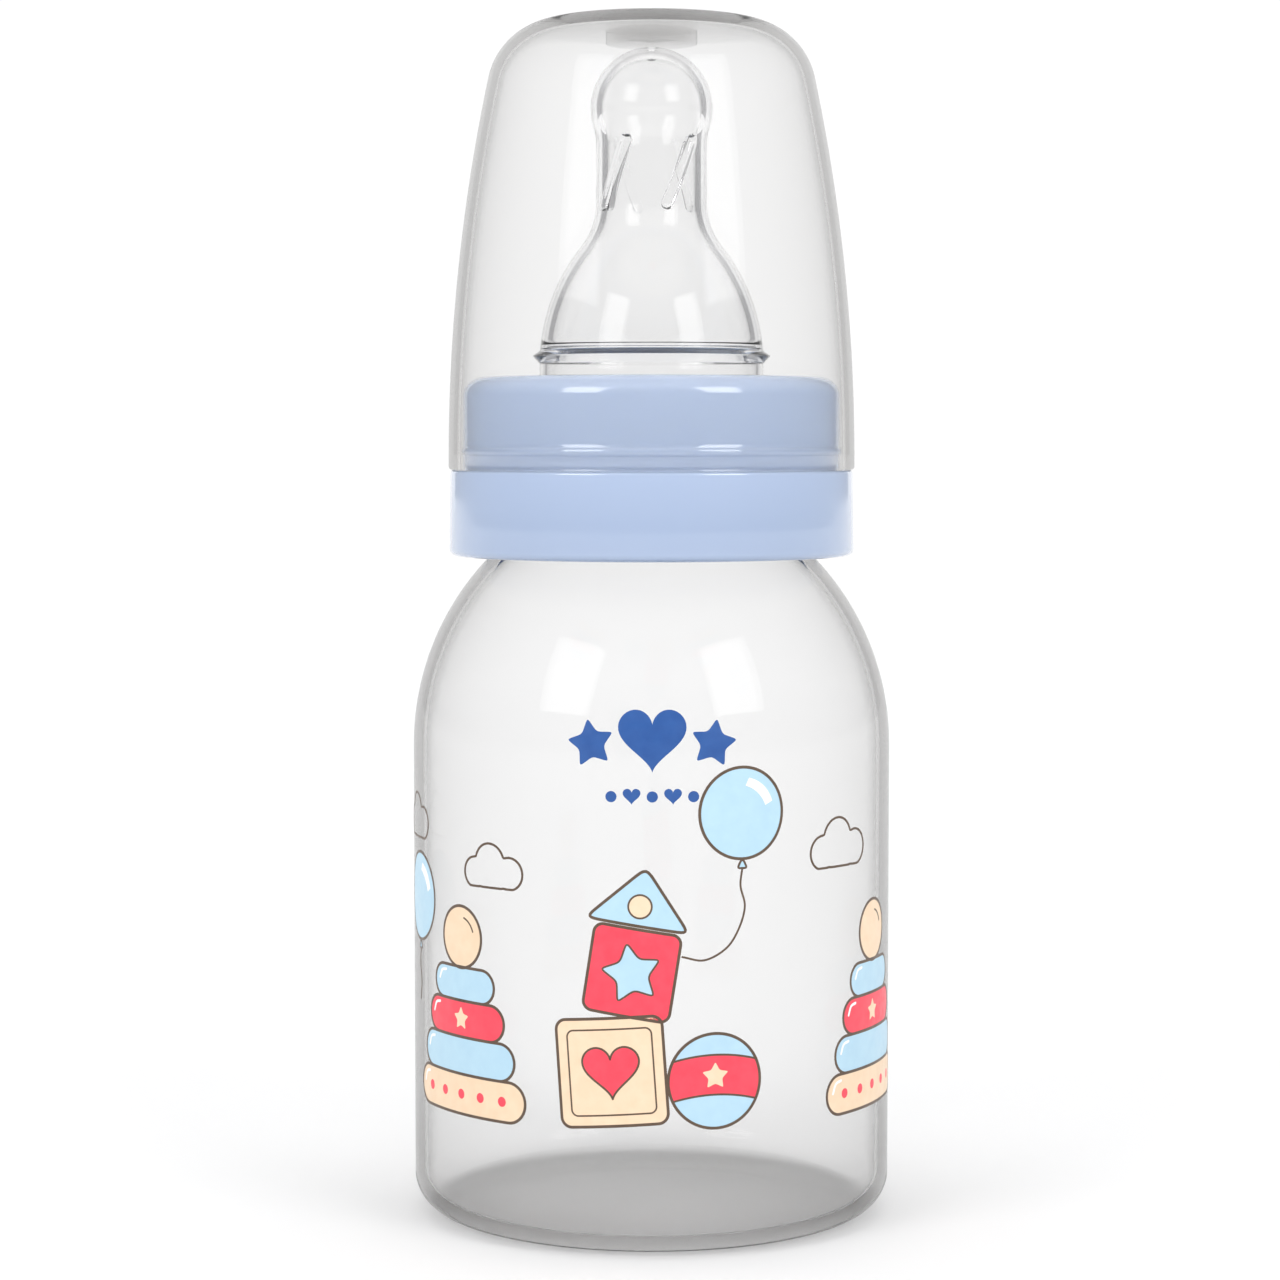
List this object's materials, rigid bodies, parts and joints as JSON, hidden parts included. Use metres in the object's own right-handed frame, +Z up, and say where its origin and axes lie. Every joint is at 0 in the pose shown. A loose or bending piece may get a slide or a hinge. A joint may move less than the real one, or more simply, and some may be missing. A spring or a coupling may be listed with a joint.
{
  "type": "baby bottle",
  "caption": "Small round feeding bottle with a narrow threaded neck, a silicone teat clamped by a screw ring, and a tall clear hood over the teat.",
  "frame": {"origin": "on the bottle's axis, in the plane that the base stands on", "axes": "+Z up along the bottle's axis, towards the teat; -Y is the side with the middle of the print"},
  "size_m": [0.054, 0.054, 0.1348],
  "materials": {
    "clear_bottle": "clear blow-moulded polypropylene, printed with light blue, red, tan and dark blue motifs",
    "silicone": "clear moulded silicone, slightly hazy",
    "ring_plastic": "glossy light blue polypropylene",
    "clear_hood": "clear glossy polypropylene"
  },
  "bodies": {
    "bottle": {"bottle": "clear_bottle"},
    "teat": {"teat": "silicone"},
    "ring": {"screw_ring": "ring_plastic"},
    "hood": {"hood": "clear_hood"}
  },
  "joints": [
    {"name": "teat_lift", "type": "slide", "parent": "bottle", "child": "teat", "axis": [0, 0, 1], "range_m": [0, 0.01751]},
    {"name": "ring_turn", "type": "hinge", "parent": "teat", "child": "ring", "pos_m": [0, 0, 0.0843], "axis": [0, 0, 1], "range_deg": [0, 1260]},
    {"name": "hood_pull", "type": "slide", "parent": "ring", "child": "hood", "axis": [0, 0, 1], "range_m": [0, 0.055]}
  ],
  "couplings": [
    {"joint": "teat_lift", "follows": "ring_turn", "m_per_rad": 0.00079577}
  ]
}
